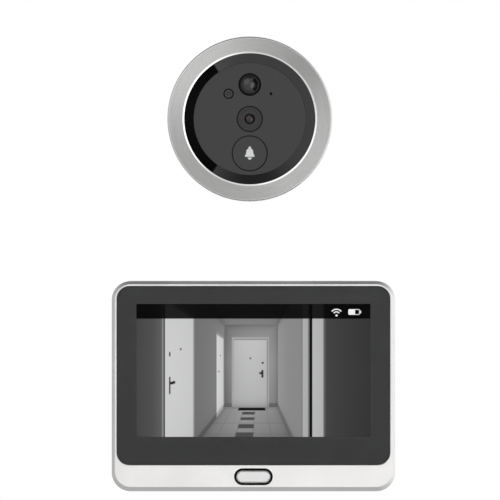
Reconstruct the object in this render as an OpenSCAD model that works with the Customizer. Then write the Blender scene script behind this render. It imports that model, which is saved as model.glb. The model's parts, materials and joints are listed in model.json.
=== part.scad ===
// Peephole door camera: a round outdoor unit and the indoor monitor that hangs on its door bracket.
// Each unit is drawn with x to the right, y up and z out of the door, then stood upright to face -Y.

/* [Layout] */
// Gap between the outdoor unit and the top of the monitor
units_gap = 32.4; // [20:0.1:60]
// Sideways offset of the monitor from the outdoor unit
monitor_x = 1.5; // [-10:0.1:10]

/* [Outdoor unit face] */
// Diameter of the camera lens bezel
bezel_d = 10; // [9:0.1:13]
// Diameter of the hole for the call button
bell_d = 14.7; // [11:0.1:19]
// Gap between the lens bezel and the call button
lens_to_bell = 1.65; // [1.2:0.05:4]
// Gap between the call button and the edge of the face
bell_to_edge = 1.55; // [1.3:0.05:4]
// Diameter of the seat round the motion sensor lens
pir_seat_d = 9.2; // [8.6:0.1:11]
// Diameter of the motion sensor dome
pir_dome_d = 8.2; // [7:0.1:8.4]
// Gap between the lens bezel and the motion sensor seat
lens_to_pir = 4.4; // [3:0.1:5]
// Distance of the light sensor and the microphone from the lens centre
sensor_r = 13.4; // [12:0.1:15]
// Angle of the light sensor and the microphone from the vertical
sensor_angle = 40; // [36:1:60]
// Diameter of the light sensor window
light_window_d = 4; // [3:0.1:5]
// Diameter of the microphone hole
mic_hole_d = 1.2; // [0.8:0.1:2]

/* [Outdoor unit body] */
// Width of the dished infrared window
dish_w = 3.75; // [3:0.05:6]
// Height of the dish from the face to its outer edge
dish_rise = 2.6; // [1.8:0.1:4]
// Width of the polished inner edge of the ring
edge_w = 0.6; // [0.4:0.05:1.2]
// Width of the brushed cone of the ring
cone_w = 6.25; // [5.5:0.05:9]
// Height of the brushed cone of the ring
cone_rise = 2; // [1:0.1:4]
// Thickness of the ring's outer wall
rim_wall = 1.5; // [1.2:0.1:2]
// Thickness of the foam gasket on the door
gasket_t = 1; // [0.6:0.1:2]
// Thickness of the rear shell's floor
shell_floor = 1.6; // [1.4:0.1:2.4]
// Thickness of the rear shell's wall
shell_wall = 2.2; // [1.6:0.1:2.6]
// Room behind the outdoor board
rear_space = 4.8; // [4.4:0.1:8]
// Thickness of both circuit boards
board_t = 1.6; // [1:0.1:2]
// Room between the outdoor board and the face cover
front_space = 3; // [2.9:0.1:5]
// Thickness of the face cover
cover_t = 1.6; // [1.2:0.1:2.4]
// Distance between the two door bolts
bolt_pitch = 11; // [10:0.5:16]
// Core diameter of the threaded holes for the door bolts
bolt_core_d = 2.5; // [2:0.1:3.3]
// Outer diameter of the threaded posts
post_d = 5.2; // [4.6:0.1:6]

/* [Monitor front] */
// Width of the visible picture
active_w = 95; // [80:0.5:120]
// Height of the visible picture
active_h = 53.9; // [45:0.1:70]
// Border of the display panel at both sides of the picture
panel_side = 5.25; // [3:0.05:8]
// Border of the display panel above the picture
panel_top = 4.55; // [3:0.05:8]
// Border of the display panel below the picture
panel_bottom = 8.75; // [6:0.05:12]
// Overlap of the cover glass past the display panel
glass_lap = 2.75; // [2.2:0.05:5]
// Thickness of the cover glass
glass_t = 1.1; // [0.7:0.05:2]
// Width of the frame at the top and the sides of the glass
frame_rim = 2; // [1.8:0.05:4]
// Height of the chin below the glass
chin_h = 10.6; // [10:0.1:16]
// Corner radius of the monitor
corner_r = 7.7; // [6.5:0.1:10]
// Width of the frame's bevel, seen from the front
bevel_w = 1.3; // [0.6:0.05:1.6]
// Depth of the frame's bevel
bevel_h = 1.3; // [0.8:0.1:3]
// How much wider the bevel is along the lower edge
chin_bevel = 0.5; // [0:0.05:1]
// Width of the pill-shaped view button
pill_w = 13.6; // [10:0.1:20]
// Height of the pill-shaped view button
pill_h = 4.75; // [3.5:0.05:5.2]
// Width of the black surround of the view button
surround_w = 1; // [0.8:0.05:1.2]

/* [Monitor body] */
// Gap between the monitor's back and the door
rear_gap = 0.8; // [0.5:0.1:1.5]
// Wall thickness of the monitor's housing
wall = 2; // [1.6:0.1:2.6]
// Radius of the housing's rear edge
rear_edge_r = 4; // [2:0.1:4.5]
// Depth of the recess for the bracket
recess_depth = 3.2; // [2.6:0.1:5]
// Thickness of the display cell
cell_t = 1.2; // [0.8:0.1:2]
// Thickness of the display backlight
backlight_t = 1.7; // [1.2:0.1:3]
// Width of the battery pack
battery_w = 54; // [40:0.5:60]
// Height of the battery pack
battery_h = 56; // [40:0.5:58]
// Thickness of the battery pack
battery_t = 7.8; // [7.4:0.1:10]

/* [Door bracket] */
// Width of the bracket plate
bracket_w = 62; // [58:0.5:68]
// Height of the bracket plate
bracket_h = 48; // [46:0.5:50]
// Thickness of the bracket's sheet steel
bracket_t = 1.2; // [1:0.1:1.5]
// Width of each hook
hook_w = 8; // [6:0.1:10]
// Height of each hook's lip
hook_lip = 5; // [3:0.1:6]
// Width of the bolt slots
slot_w = 3.4; // [3:0.1:4.5]
// Length of the bolt slots
slot_l = 5.6; // [5:0.1:8]

/* [Hidden] */
$fn = 64;
e = 0.01;

// Clearances
fit = 0.05;
slip = 0.15;
run = 0.25;
button_gap = 0.1;
button_travel = 0.5;
reset_travel = 0.4;
hang_gap = 0.1;

// Outdoor unit, heights off the door
floor_z = gasket_t + shell_floor;
board_z = floor_z + rear_space;
board_top = board_z + board_t;
cover_z = board_top + front_space;
face_z = cover_z + cover_t;
dish_z = face_z + dish_rise;
edge_rise = 0.4;
edge_fall = 0.15;
crest_z = dish_z + edge_rise;
rim_top = crest_z - cone_rise;
ring_lip_t = 2.1;
ring_lip_z = crest_z - ring_lip_t;
seal_t = 0.4;
dish_flange_z = ring_lip_z - seal_t;
dish_flange_t = 1.2;
shell_top = cover_z - 0.4;
ring_base = floor_z + 0.1;
rim_break = 0.5;

// Outdoor unit, radii and places
bell_lip = 0.6;
bezel_r = bezel_d / 2;
bell_r = bell_d / 2;
bell_y = -(bezel_r + lens_to_bell + bell_r);
pir_y = bezel_r + lens_to_pir + pir_seat_d / 2;
face_r = bezel_r + lens_to_bell + bell_d + bell_to_edge;
cover_r = face_r - 0.1;
dish_r = face_r + dish_w;
edge_r = dish_r + edge_w;
ring_r = edge_r + cone_w;
ring_in_r = ring_r - rim_wall;
dish_flange_r = dish_r + 1.4;
shoulder_r = dish_flange_r + slip;
shell_r = ring_in_r - slip;
shell_in_r = shell_r - shell_wall;
shell_base_r = ring_r - 0.3;
shell_ledge = 2;
cover_lip = 1.3;
cover_lip_in = bell_to_edge - bell_lip - 0.4;
cover_lip_t = 1;
led_r = dish_r - 0.65;
sensor_x = sensor_r * sin(sensor_angle);
sensor_y = sensor_r * cos(sensor_angle);

// Outdoor unit, screws and posts
door_screw_count = 4;
door_screw_r = shell_r - 1.65;
door_boss_r = 2.4;
screw_core = 1.9;
screw_head_d = 3.6;
screw_head_h = 1.2;
screw_bite = 2.6;
door_screw_len = shell_top + screw_bite - gasket_t - screw_head_h - slip;
post_len = floor_z + rear_space - 0.4;
post_hole = post_len - 1;
post_boss_r = post_d / 2 + 1.5;
gland_w = 8;
gland_h = 2.4;
gland_y = post_boss_r + gland_h / 2 + 0.3;
gland_flange = 0.8;
plug_w = 9;
plug_h = 3.4;
plug_t = 2;
plug_wall = 1;
plug_slot = 1;
plug_depth = 1.4;
door_chip_x = 13;
door_chip_side = 8;
door_chip_t = 1.2;

// Outdoor unit, call button and its switch
bell_cap_r = bell_r - run;
bell_lip_t = 1;
bell_top = face_z + 0.1;
bell_lip_z = cover_z - button_gap - bell_lip_t;
switch_side = 4.6;
switch_h = 0.9;
plunger_r = 1;
plunger_z = board_top + switch_h - 0.3;
stem_r = 2;
stem_z = board_top + switch_h + button_travel + 0.1;
switch_floor = 0.05;

// Outdoor unit, lens and sensors
barrel_break = 0.3;
imager_w = 5;
imager_d = 4.4;
imager_h = 0.9;
bezel_flange = 0.9;
bezel_flange_t = 0.6;
bezel_proud = 0.5;
bezel_mouth_r = bezel_r - 0.7;
bezel_step_r = 3.2;
bezel_stop_r = 2.5;
bezel_floor = face_z - 0.3;
bezel_top = face_z + bezel_proud;
bezel_break = 0.2;
bezel_gap = 0.35;
bezel_steps = 4;
bezel_step_w = (bezel_mouth_r - bezel_step_r) / bezel_steps;
bezel_step_h = (bezel_top - bezel_floor) / bezel_steps;
barrel_r = 3.5;
barrel_bore_r = 1.9;
holder_side = 9;
holder_h = 2.2;
barrel_z = board_top + 1.2;
barrel_top = face_z - 0.7;
glass_edge_t = 0.8;
glass_curve_r = 3.5;
pir_r = pir_dome_d / 2;
pir_seat_r = pir_seat_d / 2;
pir_sink = 0.9;
pir_stand = 0.3;
pir_curve_r = 1.27 * pir_r;
pir_centre = face_z + pir_stand - sqrt(pow(pir_curve_r, 2) - pow(pir_r, 2));
pir_wall = 0.6;
pir_flange = 0.5;
pir_flange_t = 0.8;
pir_can_r = 2.3;
pir_can_h = front_space + 0.2;
window_r = light_window_d / 2;
window_flange = 0.6;
groove_w = 0.4;
groove_depth = 0.7;
eye_r = 0.55;
eye_w = 0.25;
eye_depth = 0.25;
window_flange_t = 0.6;
mic_h = 1.1;
mic_w = 3.8;
mic_d = 3;
mic_port_r = 0.4;
mic_port_floor = 0.4;
speaker_r = 9;
speaker_h = 4;
speaker_y = bell_y + 0.6;

// Monitor, heights off the door
recess_z = rear_gap + recess_depth;
recess_floor_t = 1.8;
recess_in = recess_z + recess_floor_t;
hook_gap = 0.3;
lip_z = recess_in + hook_gap;
lip_top = lip_z + bracket_t;
battery_z = lip_top + 0.7;
battery_room = 0.75;
panel_z = battery_z + battery_t + battery_room;
cell_z = panel_z + backlight_t;
tape_z = cell_z + cell_t;
tape_t = 0.3;
glass_z = tape_z + tape_t;
rim_proud = 0.15;
rim_z = glass_z + glass_t + rim_proud;
shelf_t = 1.85;
ceiling_z = tape_z - shelf_t;
part_drop = 5.6;
part_z = ceiling_z - part_drop;
tongue_h = 1.4;
tongue_t = 1.1;
case_boss_top = panel_z - slip;

// Monitor, widths and places
panel_w = active_w + 2 * panel_side;
panel_h = active_h + panel_top + panel_bottom;
glass_w = panel_w + 2 * glass_lap;
glass_h = panel_h + 2 * glass_lap;
mon_w = glass_w + 2 * frame_rim;
mon_h = glass_h + frame_rim + chin_h;
monitor_y = -(ring_r + units_gap + mon_h / 2);
glass_y = mon_h / 2 - frame_rim - glass_h / 2;
active_y = glass_y + (panel_bottom - panel_top) / 2;
glass_r = corner_r - 2.5;
panel_fit = 0.3;
in_w = mon_w - 2 * wall;
in_h = mon_h - 2 * wall;
in_r = corner_r - wall;
tongue_w = in_w - 2 * slip;
tongue_d = in_h - 2 * slip;
tongue_r = in_r - slip;
case_inset = 5.2;
case_x = mon_w / 2 - case_inset;
case_y = mon_h / 2 - case_inset;
case_boss_r = 3.2;
case_head_z = rear_gap + 3;

// Monitor, view button and its switch
view_y = -mon_h / 2 + bevel_w + (chin_h - bevel_w) / 2;
surround_lip = 0.9;
surround_lip_t = 1;
pill_gap = 0.2;
pill_proud = 0.35;
pill_bevel = 0.45;
pill_lip = 0.8;
pill_lip_t = 1.1;
pill_lip_z = ceiling_z - surround_lip_t - button_gap - pill_lip_t;
key_w = 44;
key_h = 2 * (view_y + mon_h / 2 - wall - slip - tongue_t - run);
key_boss_r = 1.9;
key_boss_x = 18;
view_switch_h = 1.4;
key_top = pill_lip_z - view_switch_h - button_travel - 0.2;
key_z = key_top - board_t;
view_plunger_z = key_top + view_switch_h - 0.3;
key_mic_x = 11;

// Monitor, boards, battery and sockets
keepout = 3.4;
stack_y = 3;
battery_x = -in_w / 2 + keepout + battery_w / 2 - 1;
main_gap = 5.5;
main_left = battery_x + battery_w / 2 + main_gap;
main_right = in_w / 2 - 2.4;
main_w = main_right - main_left;
main_x = (main_left + main_right) / 2;
main_h = 56;
main_z = part_z - board_t;
main_boss_r = 2.5;
main_boss_inset = 3.6;
main_boss_x = main_w / 2 - main_boss_inset;
main_boss_y = main_h / 2 - main_boss_inset;
pilot_d = 1.5;
chip_side = 7;
chip_pitch = 9;
chip_t = 1.1;
chip_up = 12;
can_w = 26;
can_h = 24;
can_t = 2;
can_up = 8;
usb_w = 9;
usb_h = 3.2;
usb_l = 7.6;
boss_gap = 1.4;
usb_y = stack_y - main_boss_y + main_boss_r + boss_gap + usb_w / 2;
card_w = 12;
card_h = 1.6;
card_l = 14;
card_skin = 0.3;
card_y = stack_y + 3;
reset_gap = 2.1;
reset_y = stack_y + main_boss_y - main_boss_r - reset_gap - switch_side / 2;
reset_r = 1.2;
reset_lip = 0.6;
reset_lip_t = 0.9;
reset_out = mon_w / 2 - 0.3;
reset_lip_x = mon_w / 2 - wall - button_gap - reset_lip_t;
reset_z = main_z - 2;
reset_switch_h = 3.4;
reset_switch_l = 3.6;
reset_plunger_r = 0.7;
reset_switch_x = reset_lip_x - reset_travel - 0.2;
ribbon_w = 8;
ribbon_h = 5;
ribbon_open = 1.5;
ribbon_x = main_left + ribbon_w / 2 + 0.5;
ribbon_y = stack_y - 3;
speaker_w = 30;
speaker_d = 9;
speaker_t = 5;
speaker_x = battery_x;
speaker_low = -in_h / 2 + speaker_d / 2 + 1;
grille_count = 5;
grille_w = 1.2;
grille_h = 6;
grille_pitch = 4;
antenna_w = 40;
antenna_h = 6.5;
antenna_t = 0.3;

// Bracket, recess and hooks
lift = 7;
recess_side = 1;
recess_wall = 1.6;
bracket_y = speaker_low + speaker_d / 2 + 0.6 + recess_wall + recess_side + lift + bracket_h / 2;
bracket_r = 4;
recess_w = bracket_w + 2 * recess_side;
recess_high = bracket_y + bracket_h / 2 + recess_side;
recess_low = bracket_y - bracket_h / 2 - lift - recess_side;
recess_h = recess_high - recess_low;
recess_y = (recess_high + recess_low) / 2;
hook_x = bracket_w / 2 - hook_w / 2 - 3;
hook_cut = lip_top - bracket_t + hook_lip;
hook_row = bracket_h / 2 - bracket_t - hook_cut - 2;
hook_rows = [bracket_y - hook_row, bracket_y + hook_row];
hook_bend = 0.8;
hook_side = 0.5;
hook_slot_h = hang_gap + bracket_t + lift + hook_side;
cable_w = 16;
cable_h = 8;
cable_gap = 3;
cable_y = bracket_y + slot_w / 2 + cable_h / 2 + cable_gap;
rib_t = 1.6;
rib_h = 46;
rib_inset = 4;
pilot_depth = 4;
speaker_rim = 1.5;
board_head_d = 3.2;
board_head_h = 1;
board_bite = 3;
key_bite = 2;

// Shared shapes

module on_door() {
    rotate([90, 0, 0])
        children();
}

module on_monitor() {
    rotate([90, 0, 0])
        translate([monitor_x, monitor_y, 0])
            children();
}

module at_height(z) {
    translate([0, 0, z])
        children();
}

module rounded_rect(w, h, r) {
    square([w - 2 * r, h], center = true);
    square([w, h - 2 * r], center = true);
    for (sx = [-1, 1], sy = [-1, 1])
        translate([sx * (w / 2 - r), sy * (h / 2 - r)])
            circle(r);
}

module pill(w, h) {
    square([w - h, h], center = true);
    for (sx = [-1, 1])
        translate([sx * (w - h) / 2, 0])
            circle(h / 2);
}

// Sweeps a profile round a rounded rectangle: x is the distance outside its outline, y is the height
module rim_sweep(w, h, r) {
    for (turn = [0, 1]) {
        side = turn == 0 ? h - 2 * r : w - 2 * r;
        half = turn == 0 ? w / 2 : h / 2;
        if (side > 0)
            for (flip = [0, 180])
                rotate([0, 0, 90 * turn + flip])
                    rotate([90, 0, 0])
                        linear_extrude(side, center = true)
                            translate([half, 0])
                                children();
    }
    for (sx = [-1, 1], sy = [-1, 1])
        translate([sx * (w / 2 - r), sy * (h / 2 - r), 0])
            rotate([0, 0, sx > 0 ? (sy > 0 ? 0 : 270) : (sy > 0 ? 90 : 180)])
                rotate_extrude(angle = 90)
                    translate([r, 0])
                        children();
}

module bevel_cut(w, h) {
    run_out = 2;
    polygon([[-w, 0], [run_out, -h * (w + run_out) / w], [run_out, 1], [-w, 1]]);
}

module fillet_cut(r) {
    difference() {
        translate([-r, -1])
            square(r + 1);
        translate([-r, r])
            circle(r);
    }
}

module box_at(x, y, z, w, h, t) {
    translate([x - w / 2, y - h / 2, z])
        cube([w, h, t]);
}

module post_at(x, y, z, r, t) {
    translate([x, y, z])
        cylinder(r = r, h = t);
}

// A screw that points along +z, with its head's rim at z = 0 and a cross recess
module screw(head_d, head_h, core_d, length) {
    cross_w = head_d * 0.16;
    cross_l = head_d * 0.6;
    difference() {
        union() {
            cylinder(d = head_d, h = head_h);
            cylinder(d = core_d, h = head_h + length);
        }
        for (turn = [0, 90])
            rotate([0, 0, turn])
                box_at(0, 0, -e, cross_l, cross_w, head_h * 0.5);
    }
}

module at_door_screws() {
    for (i = [0 : door_screw_count - 1])
        rotate([0, 0, 45 + i * 360 / door_screw_count])
            translate([door_screw_r, 0, 0])
                children();
}

module at_case_screws() {
    for (sx = [-1, 1], sy = [-1, 1])
        translate([sx * case_x, sy * case_y, 0])
            children();
}

module at_main_bosses() {
    for (sx = [-1, 1], sy = [-1, 1])
        translate([main_x + sx * main_boss_x, stack_y + sy * main_boss_y, 0])
            children();
}

module at_key_bosses() {
    for (sx = [-1, 1])
        translate([sx * key_boss_x, view_y, 0])
            children();
}

// Outdoor unit

module door_ring() {
    color("#b4b7ba")
        on_door()
            difference() {
                rotate_extrude()
                    polygon([
                        [ring_in_r, ring_base], [ring_r, ring_base],
                        [ring_r, rim_top - rim_break], [ring_r - rim_break, rim_top],
                        [edge_r, crest_z], [dish_r, crest_z - edge_fall],
                        [dish_r, ring_lip_z], [shoulder_r, ring_lip_z],
                        [shoulder_r, shell_top], [ring_in_r, shell_top]
                    ]);
                at_door_screws()
                    at_height(shell_top - e)
                        cylinder(d = screw_core, h = screw_bite);
            }
}

module seal_ring() {
    color("#222222")
        on_door()
            at_height(dish_flange_z)
                difference() {
                    cylinder(r = dish_flange_r, h = seal_t);
                    at_height(-e)
                        cylinder(r = dish_r + fit, h = seal_t + 2 * e);
                }
}

module dish_window() {
    color("#0c0c0e")
        on_door()
            rotate_extrude()
                polygon([
                    [face_r, face_z], [dish_r - slip, dish_z], [dish_r - slip, dish_flange_z],
                    [dish_flange_r, dish_flange_z], [dish_flange_r, dish_flange_z - dish_flange_t],
                    [dish_r - slip, dish_flange_z - dish_flange_t], [cover_r + cover_lip + slip, cover_z],
                    [face_r, cover_z]
                ]);
}

module face_cover() {
    color("#454547")
        on_door()
            difference() {
                union() {
                    at_height(cover_z)
                        cylinder(r = cover_r, h = cover_t);
                    at_height(cover_z - cover_lip_t)
                        cylinder(r = cover_r + cover_lip, h = cover_lip_t);
                }
                at_height(cover_z - cover_lip_t - e)
                    cylinder(r = cover_r - cover_lip_in, h = cover_lip_t + e);
                post_at(0, 0, 0, bezel_r + bezel_gap, crest_z);
                post_at(0, bell_y, 0, bell_r, crest_z);
                post_at(0, pir_y, 0, pir_seat_r + fit, crest_z);
                post_at(-sensor_x, sensor_y, 0, window_r + fit, crest_z);
                post_at(sensor_x, sensor_y, 0, mic_hole_d / 2, crest_z);
            }
}

module rear_shell() {
    color("#2a2a2c")
        on_door()
            difference() {
                union() {
                    difference() {
                        rotate_extrude()
                            polygon([
                                [0, gasket_t], [shell_base_r, gasket_t], [shell_base_r, floor_z],
                                [shell_r, floor_z], [shell_r, shell_top], [0, shell_top]
                            ]);
                        at_height(floor_z)
                            cylinder(r = shell_in_r - shell_ledge, h = crest_z);
                        at_height(board_z)
                            linear_extrude(crest_z)
                                difference() {
                                    circle(shell_in_r);
                                    at_door_screws()
                                        circle(door_boss_r);
                                }
                    }
                    for (sx = [-1, 1])
                        post_at(sx * bolt_pitch / 2, 0, floor_z - shell_floor / 2, post_boss_r,
                            post_len - floor_z + shell_floor / 2);
                }
                for (sx = [-1, 1])
                    post_at(sx * bolt_pitch / 2, 0, 0, post_d / 2, crest_z);
                at_door_screws() {
                    cylinder(d = screw_core + 0.2, h = crest_z);
                    cylinder(d = screw_head_d + 0.2, h = gasket_t + screw_head_h);
                }
                translate([0, gland_y, 0])
                    linear_extrude(crest_z)
                        pill(gland_w, gland_h);
            }
}

module door_gasket() {
    color("#1c1c1c")
        on_door()
            difference() {
                cylinder(r = shell_base_r, h = gasket_t);
                at_height(-e)
                    cylinder(r = door_screw_r - screw_head_d / 2 - 2.5, h = gasket_t + 2 * e);
            }
}

module threaded_posts() {
    color("#b8934a")
        on_door()
            for (sx = [-1, 1])
                translate([sx * bolt_pitch / 2, 0, 0])
                    difference() {
                        cylinder(d = post_d, h = post_len);
                        at_height(-e)
                            cylinder(d = bolt_core_d, h = post_hole + e);
                    }
}

module door_screws() {
    color("#8d9094")
        on_door()
            at_door_screws()
                at_height(gasket_t)
                    screw(screw_head_d, screw_head_h, screw_core, door_screw_len);
}

module cable_gland() {
    color("#151515")
        on_door()
            translate([0, gland_y, 0])
                difference() {
                    union() {
                        at_height(0.2)
                            linear_extrude(floor_z)
                                pill(gland_w - 2 * fit, gland_h - 2 * fit);
                        at_height(floor_z)
                            linear_extrude(gland_flange)
                                pill(gland_w + 2 * gland_flange, gland_h + 0.4);
                    }
                    linear_extrude(crest_z)
                        square([gland_w - gland_h, 0.8], center = true);
                }
}

module door_board() {
    color("#1e5a3a")
        on_door()
            difference() {
                at_height(board_z)
                    cylinder(r = shell_in_r - slip, h = board_t);
                at_door_screws()
                    at_height(board_z - e)
                        cylinder(r = door_boss_r + slip, h = board_t + 2 * e);
            }
}

module door_connector() {
    color("#d8d4c4")
        on_door()
            difference() {
                box_at(0, gland_y + 1, board_z - plug_t, plug_w, plug_h, plug_t);
                box_at(0, gland_y + 1, board_z - plug_t - e, plug_w - 2 * plug_wall, plug_slot, plug_depth);
            }
}

module door_chips() {
    color("#1a1a1a")
        on_door()
            for (sx = [-1, 1])
                box_at(sx * door_chip_x, sensor_y, board_z - door_chip_t, door_chip_side, door_chip_side, door_chip_t);
}

module ir_leds() {
    color("#d9d6cf")
        on_door()
            for (i = [0 : 5])
                rotate([0, 0, 30 + 60 * i])
                    difference() {
                        box_at(led_r, 0, board_top, 2.8, 3.5, 1.7);
                        post_at(led_r, 0, board_top + 1.2, 1.1, 1);
                    }
}

module door_speaker() {
    color("#2b2b2b")
        on_door()
            translate([0, speaker_y, floor_z])
                difference() {
                    union() {
                        cylinder(r = speaker_r, h = speaker_h - 1);
                        cylinder(r = speaker_r * 0.6, h = speaker_h);
                    }
                    at_height(speaker_h - 0.6)
                        cylinder(r = speaker_r * 0.35, h = 1);
                }
}

module door_mic() {
    color("#c9b26a")
        on_door()
            difference() {
                box_at(sensor_x, sensor_y, board_top, mic_w, mic_d, mic_h);
                post_at(sensor_x, sensor_y, board_top + mic_port_floor, mic_port_r, mic_h);
            }
}

module mic_gasket() {
    color("#202020")
        on_door()
            difference() {
                post_at(sensor_x, sensor_y, board_top + mic_h, mic_hole_d / 2 + 1.4, front_space - mic_h);
                post_at(sensor_x, sensor_y, board_top, mic_port_r, crest_z);
            }
}

module pir_lens() {
    flange_z = cover_z - pir_flange_t;
    color("#17171a")
        on_door()
            translate([0, pir_y, 0])
                difference() {
                    union() {
                        at_height(flange_z)
                            cylinder(r = pir_seat_r + pir_flange, h = pir_flange_t);
                        at_height(flange_z)
                            cylinder(r = pir_seat_r, h = pir_flange_t + cover_t - pir_sink);
                        pir_dome(flange_z, pir_r, pir_curve_r);
                    }
                    pir_dome(flange_z - e, pir_r - pir_wall, pir_curve_r - pir_wall);
                }
}

module pir_dome(from_z, wall_r, curve_r) {
    intersection() {
        at_height(from_z)
            cylinder(r = wall_r, h = crest_z);
        at_height(pir_centre)
            sphere(r = curve_r);
    }
}

module pir_sensor() {
    color("#c3c5c8")
        on_door() {
            difference() {
                union() {
                    post_at(0, pir_y, board_top, pir_can_r, pir_can_h);
                    post_at(0, pir_y, board_top, pir_can_r + 0.4, 0.5);
                }
                box_at(0, pir_y, board_top + pir_can_h - 0.3, 2.4, 1.8, 1);
            }
        }
}

module light_window() {
    color("#33363a")
        on_door()
            translate([-sensor_x, sensor_y, 0])
                rotate_extrude()
                    polygon([
                        [0, cover_z - window_flange_t],
                        [window_r + window_flange, cover_z - window_flange_t],
                        [window_r + window_flange, cover_z], [window_r, cover_z],
                        [window_r, face_z - groove_depth], [window_r - groove_w, face_z - groove_depth],
                        [window_r - groove_w, face_z], [eye_r + eye_w, face_z],
                        [eye_r + eye_w, face_z - eye_depth], [eye_r, face_z - eye_depth],
                        [eye_r, face_z], [0, face_z]
                    ]);
}

module light_sensor() {
    color("#d8d8d0")
        on_door()
            box_at(-sensor_x, sensor_y, board_top, 2, 1.4, 0.8);
}

module lens_bezel() {
    color("#2d2d30")
        on_door()
            rotate_extrude()
                polygon([
                    [barrel_r + fit, cover_z - bezel_flange_t],
                    [bezel_r + bezel_flange, cover_z - bezel_flange_t],
                    [bezel_r + bezel_flange, cover_z], [bezel_r, cover_z],
                    [bezel_r, bezel_top - bezel_break], [bezel_r - bezel_break, bezel_top],
                    for (i = [0 : bezel_steps - 1], side = [0, 1])
                        [bezel_mouth_r - i * bezel_step_w, bezel_top - (i + side) * bezel_step_h],
                    [bezel_step_r, bezel_floor],
                    [bezel_stop_r, bezel_floor], [bezel_stop_r, barrel_top + fit],
                    [barrel_r + fit, barrel_top + fit]
                ]);
}

module lens_holder() {
    color("#161616")
        on_door()
            difference() {
                box_at(0, 0, board_top, holder_side, holder_side, holder_h);
                post_at(0, 0, board_top - e, barrel_r, holder_h + 1);
            }
}

module lens_barrel() {
    color("#1b1b1d")
        on_door()
            rotate_extrude()
                polygon([
                    [barrel_bore_r, barrel_z], [barrel_r, barrel_z], [barrel_r, barrel_top - barrel_break],
                    [barrel_r - barrel_break, barrel_top], [barrel_bore_r + barrel_break, barrel_top],
                    [barrel_bore_r, barrel_top - barrel_break]
                ]);
}

module lens_glass() {
    color("#5a3f4a")
        on_door()
            at_height(barrel_top - 2 * barrel_break)
                intersection() {
                    at_height(-glass_edge_t)
                        cylinder(r = barrel_bore_r, h = 3);
                    at_height(-sqrt(pow(glass_curve_r, 2) - pow(barrel_bore_r, 2)))
                        sphere(r = glass_curve_r);
                }
}

module image_sensor() {
    color("#3c4654")
        on_door()
            box_at(0, 0, board_top, imager_w, imager_d, imager_h);
}

module bell_switch() {
    color("#1a1a1a")
        on_door()
            difference() {
                box_at(0, bell_y, board_top, switch_side, switch_side, switch_h);
                post_at(0, bell_y, board_top + switch_floor, plunger_r + run, switch_h);
            }
}

module bell_plunger() {
    color("#4a4a4a")
        on_door()
            post_at(0, bell_y, plunger_z, plunger_r, stem_z - plunger_z);
}

module bell_button() {
    color("#3e3e40")
        on_door()
            translate([0, bell_y, 0])
                rotate_extrude()
                    polygon([
                        [0, stem_z], [stem_r, stem_z], [stem_r, bell_lip_z],
                        [bell_cap_r + bell_lip + run, bell_lip_z],
                        [bell_cap_r + bell_lip + run, bell_lip_z + bell_lip_t],
                        [bell_cap_r, bell_lip_z + bell_lip_t],
                        [bell_cap_r, bell_top - 0.25], [bell_cap_r - 0.25, bell_top], [0, bell_top]
                    ]);
}

// Indoor monitor

module front_frame() {
    color("#e4e2e0")
        on_monitor()
            difference() {
                union() {
                    difference() {
                        at_height(part_z)
                            linear_extrude(rim_z - part_z)
                                rounded_rect(mon_w, mon_h, corner_r);
                        translate([0, chin_bevel / 2, 0])
                            rim_sweep(mon_w, mon_h - chin_bevel, corner_r)
                                translate([0, rim_z])
                                    bevel_cut(bevel_w, bevel_h);
                        at_height(part_z - e)
                            linear_extrude(ceiling_z - part_z + e)
                                rounded_rect(in_w, in_h, in_r);
                    }
                    intersection() {
                        at_case_screws()
                            at_height(part_z)
                                cylinder(r = case_boss_r, h = case_boss_top - part_z);
                        at_height(part_z)
                            linear_extrude(case_boss_top)
                                rounded_rect(mon_w - wall, mon_h - wall, corner_r - wall / 2);
                    }
                    at_key_bosses()
                        at_height(key_top)
                            cylinder(r = key_boss_r, h = ceiling_z - key_top + e);
                }
                translate([0, glass_y, tape_z])
                    linear_extrude(rim_z)
                        rounded_rect(glass_w + 2 * slip, glass_h + 2 * slip, glass_r + slip);
                translate([0, glass_y, case_boss_top])
                    linear_extrude(rim_z)
                        square([panel_w + 2 * panel_fit, panel_h + 2 * panel_fit], center = true);
                at_case_screws()
                    at_height(part_z - e)
                        cylinder(d = screw_core, h = screw_bite + e);
                at_key_bosses()
                    at_height(key_top - e)
                        cylinder(d = pilot_d, h = screw_bite);
                translate([0, view_y, 0])
                    linear_extrude(rim_z + 1)
                        pill(pill_w + 2 * surround_w + 2 * fit, pill_h + 2 * surround_w + 2 * fit);
                translate([key_mic_x, -mon_h / 2 - 1, key_top + 0.6])
                    rotate([-90, 0, 0])
                        cylinder(d = mic_hole_d, h = wall + 2);
            }
}

module cover_glass() {
    color("#20262b", 0.35)
        on_monitor()
            translate([0, glass_y, glass_z])
                linear_extrude(glass_t)
                    rounded_rect(glass_w, glass_h, glass_r);
}

module glass_gasket() {
    color("#0a0a0a")
        on_monitor()
            translate([0, 0, tape_z])
                linear_extrude(tape_t)
                    difference() {
                        translate([0, glass_y])
                            rounded_rect(glass_w, glass_h, glass_r);
                        translate([0, active_y])
                            square([active_w, active_h], center = true);
                    }
}

module lcd_cell() {
    color("#5b6066")
        on_monitor()
            box_at(0, glass_y, cell_z, panel_w, panel_h, cell_t);
}

module lcd_backlight() {
    color("#c9ccd0")
        on_monitor()
            box_at(0, glass_y, panel_z, panel_w, panel_h, backlight_t);
}

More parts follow.
